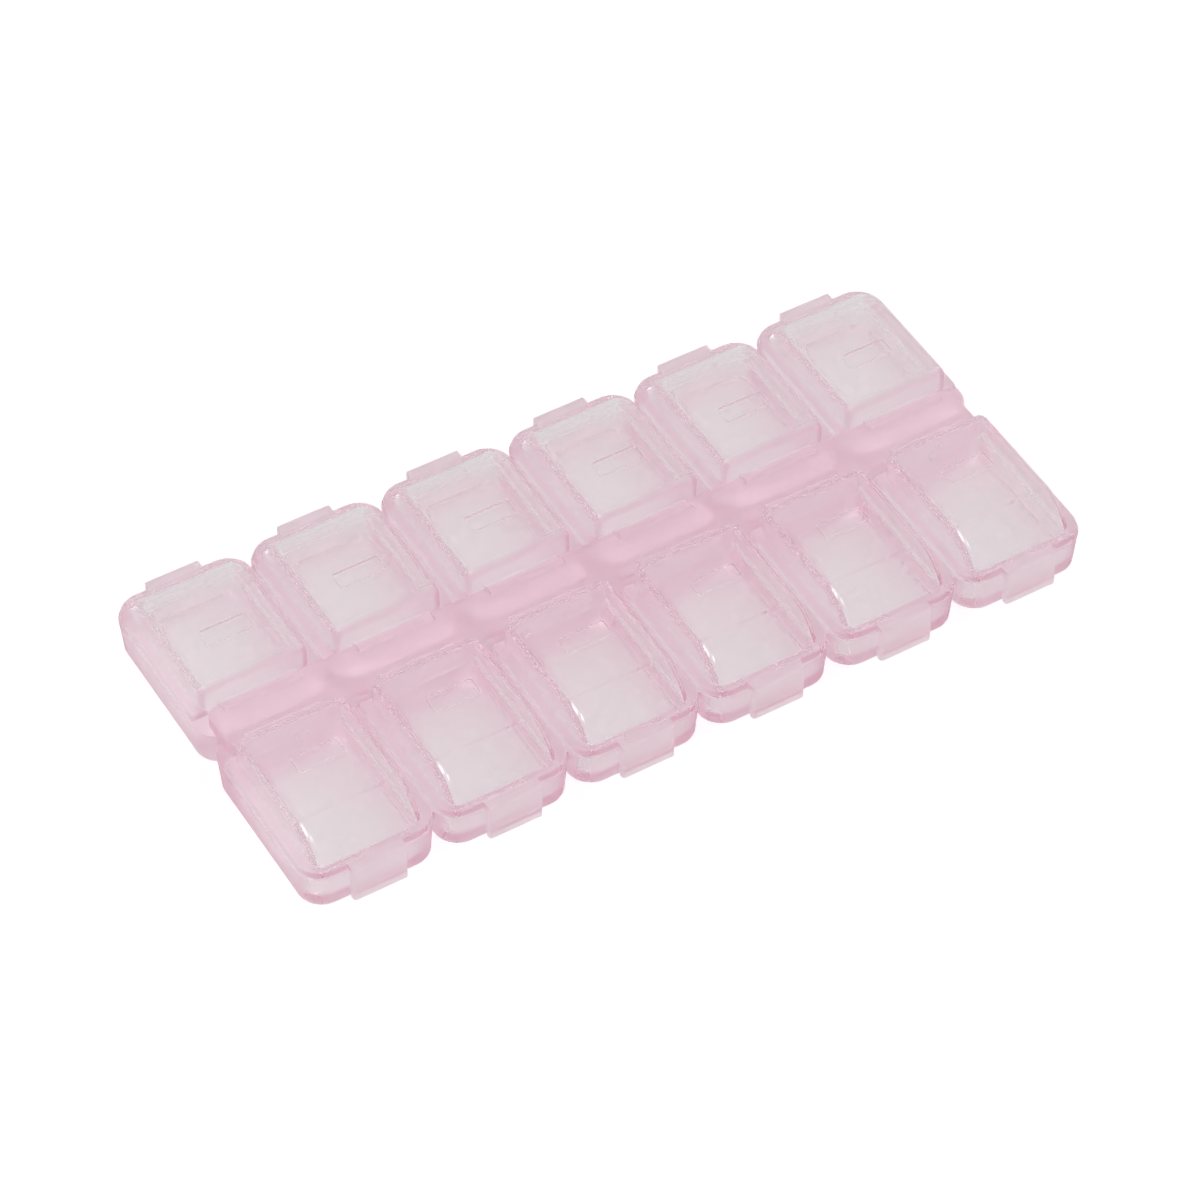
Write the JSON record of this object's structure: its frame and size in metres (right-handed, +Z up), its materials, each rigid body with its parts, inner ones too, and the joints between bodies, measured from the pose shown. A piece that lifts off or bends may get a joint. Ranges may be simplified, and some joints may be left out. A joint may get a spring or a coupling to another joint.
{
  "type": "plastic storage box",
  "caption": "Flat see-through pink plastic box with two rows of small cups, each under its own domed flip lid with a latch tongue, hinged on a spine along the middle.",
  "frame": {"origin": "middle of the underside of the tray, on the surface that the box rests on", "axes": "+X along the rows, +Y from the front row to the back row, +Z up"},
  "size_m": [0.15, 0.0726, 0.0132],
  "materials": {
    "tray": "see-through pale pink polypropylene, smooth from the mould",
    "lid": "see-through pale pink polypropylene, smooth from the mould"
  },
  "bodies": {
    "base_tray": {"base_tray": "tray"},
    "lid_front_1": {"lid_front_1": "lid"},
    "lid_front_2": {"lid_front_2": "lid"},
    "lid_front_3": {"lid_front_3": "lid"},
    "lid_front_4": {"lid_front_4": "lid"},
    "lid_front_5": {"lid_front_5": "lid"},
    "lid_front_6": {"lid_front_6": "lid"},
    "lid_back_1": {"lid_back_1": "lid"},
    "lid_back_2": {"lid_back_2": "lid"},
    "lid_back_3": {"lid_back_3": "lid"},
    "lid_back_4": {"lid_back_4": "lid"},
    "lid_back_5": {"lid_back_5": "lid"},
    "lid_back_6": {"lid_back_6": "lid"}
  },
  "joints": [
    {"name": "hinge_front_1", "type": "hinge", "parent": "base_tray", "child": "lid_front_1", "pos_m": [-0.0625, -0.0039, 0.0089], "axis": [-1, 0, 0], "range_deg": [0, 80]},
    {"name": "hinge_front_2", "type": "hinge", "parent": "base_tray", "child": "lid_front_2", "pos_m": [-0.0375, -0.0039, 0.0089], "axis": [-1, 0, 0], "range_deg": [0, 80]},
    {"name": "hinge_front_3", "type": "hinge", "parent": "base_tray", "child": "lid_front_3", "pos_m": [-0.0125, -0.0039, 0.0089], "axis": [-1, 0, 0], "range_deg": [0, 80]},
    {"name": "hinge_front_4", "type": "hinge", "parent": "base_tray", "child": "lid_front_4", "pos_m": [0.0125, -0.0039, 0.0089], "axis": [-1, 0, 0], "range_deg": [0, 80]},
    {"name": "hinge_front_5", "type": "hinge", "parent": "base_tray", "child": "lid_front_5", "pos_m": [0.0375, -0.0039, 0.0089], "axis": [-1, 0, 0], "range_deg": [0, 80]},
    {"name": "hinge_front_6", "type": "hinge", "parent": "base_tray", "child": "lid_front_6", "pos_m": [0.0625, -0.0039, 0.0089], "axis": [-1, 0, 0], "range_deg": [0, 80]},
    {"name": "hinge_back_1", "type": "hinge", "parent": "base_tray", "child": "lid_back_1", "pos_m": [-0.0625, 0.0039, 0.0089], "axis": [1, 0, 0], "range_deg": [0, 80]},
    {"name": "hinge_back_2", "type": "hinge", "parent": "base_tray", "child": "lid_back_2", "pos_m": [-0.0375, 0.0039, 0.0089], "axis": [1, 0, 0], "range_deg": [0, 80]},
    {"name": "hinge_back_3", "type": "hinge", "parent": "base_tray", "child": "lid_back_3", "pos_m": [-0.0125, 0.0039, 0.0089], "axis": [1, 0, 0], "range_deg": [0, 80]},
    {"name": "hinge_back_4", "type": "hinge", "parent": "base_tray", "child": "lid_back_4", "pos_m": [0.0125, 0.0039, 0.0089], "axis": [1, 0, 0], "range_deg": [0, 80]},
    {"name": "hinge_back_5", "type": "hinge", "parent": "base_tray", "child": "lid_back_5", "pos_m": [0.0375, 0.0039, 0.0089], "axis": [1, 0, 0], "range_deg": [0, 80]},
    {"name": "hinge_back_6", "type": "hinge", "parent": "base_tray", "child": "lid_back_6", "pos_m": [0.0625, 0.0039, 0.0089], "axis": [1, 0, 0], "range_deg": [0, 80]}
  ]
}
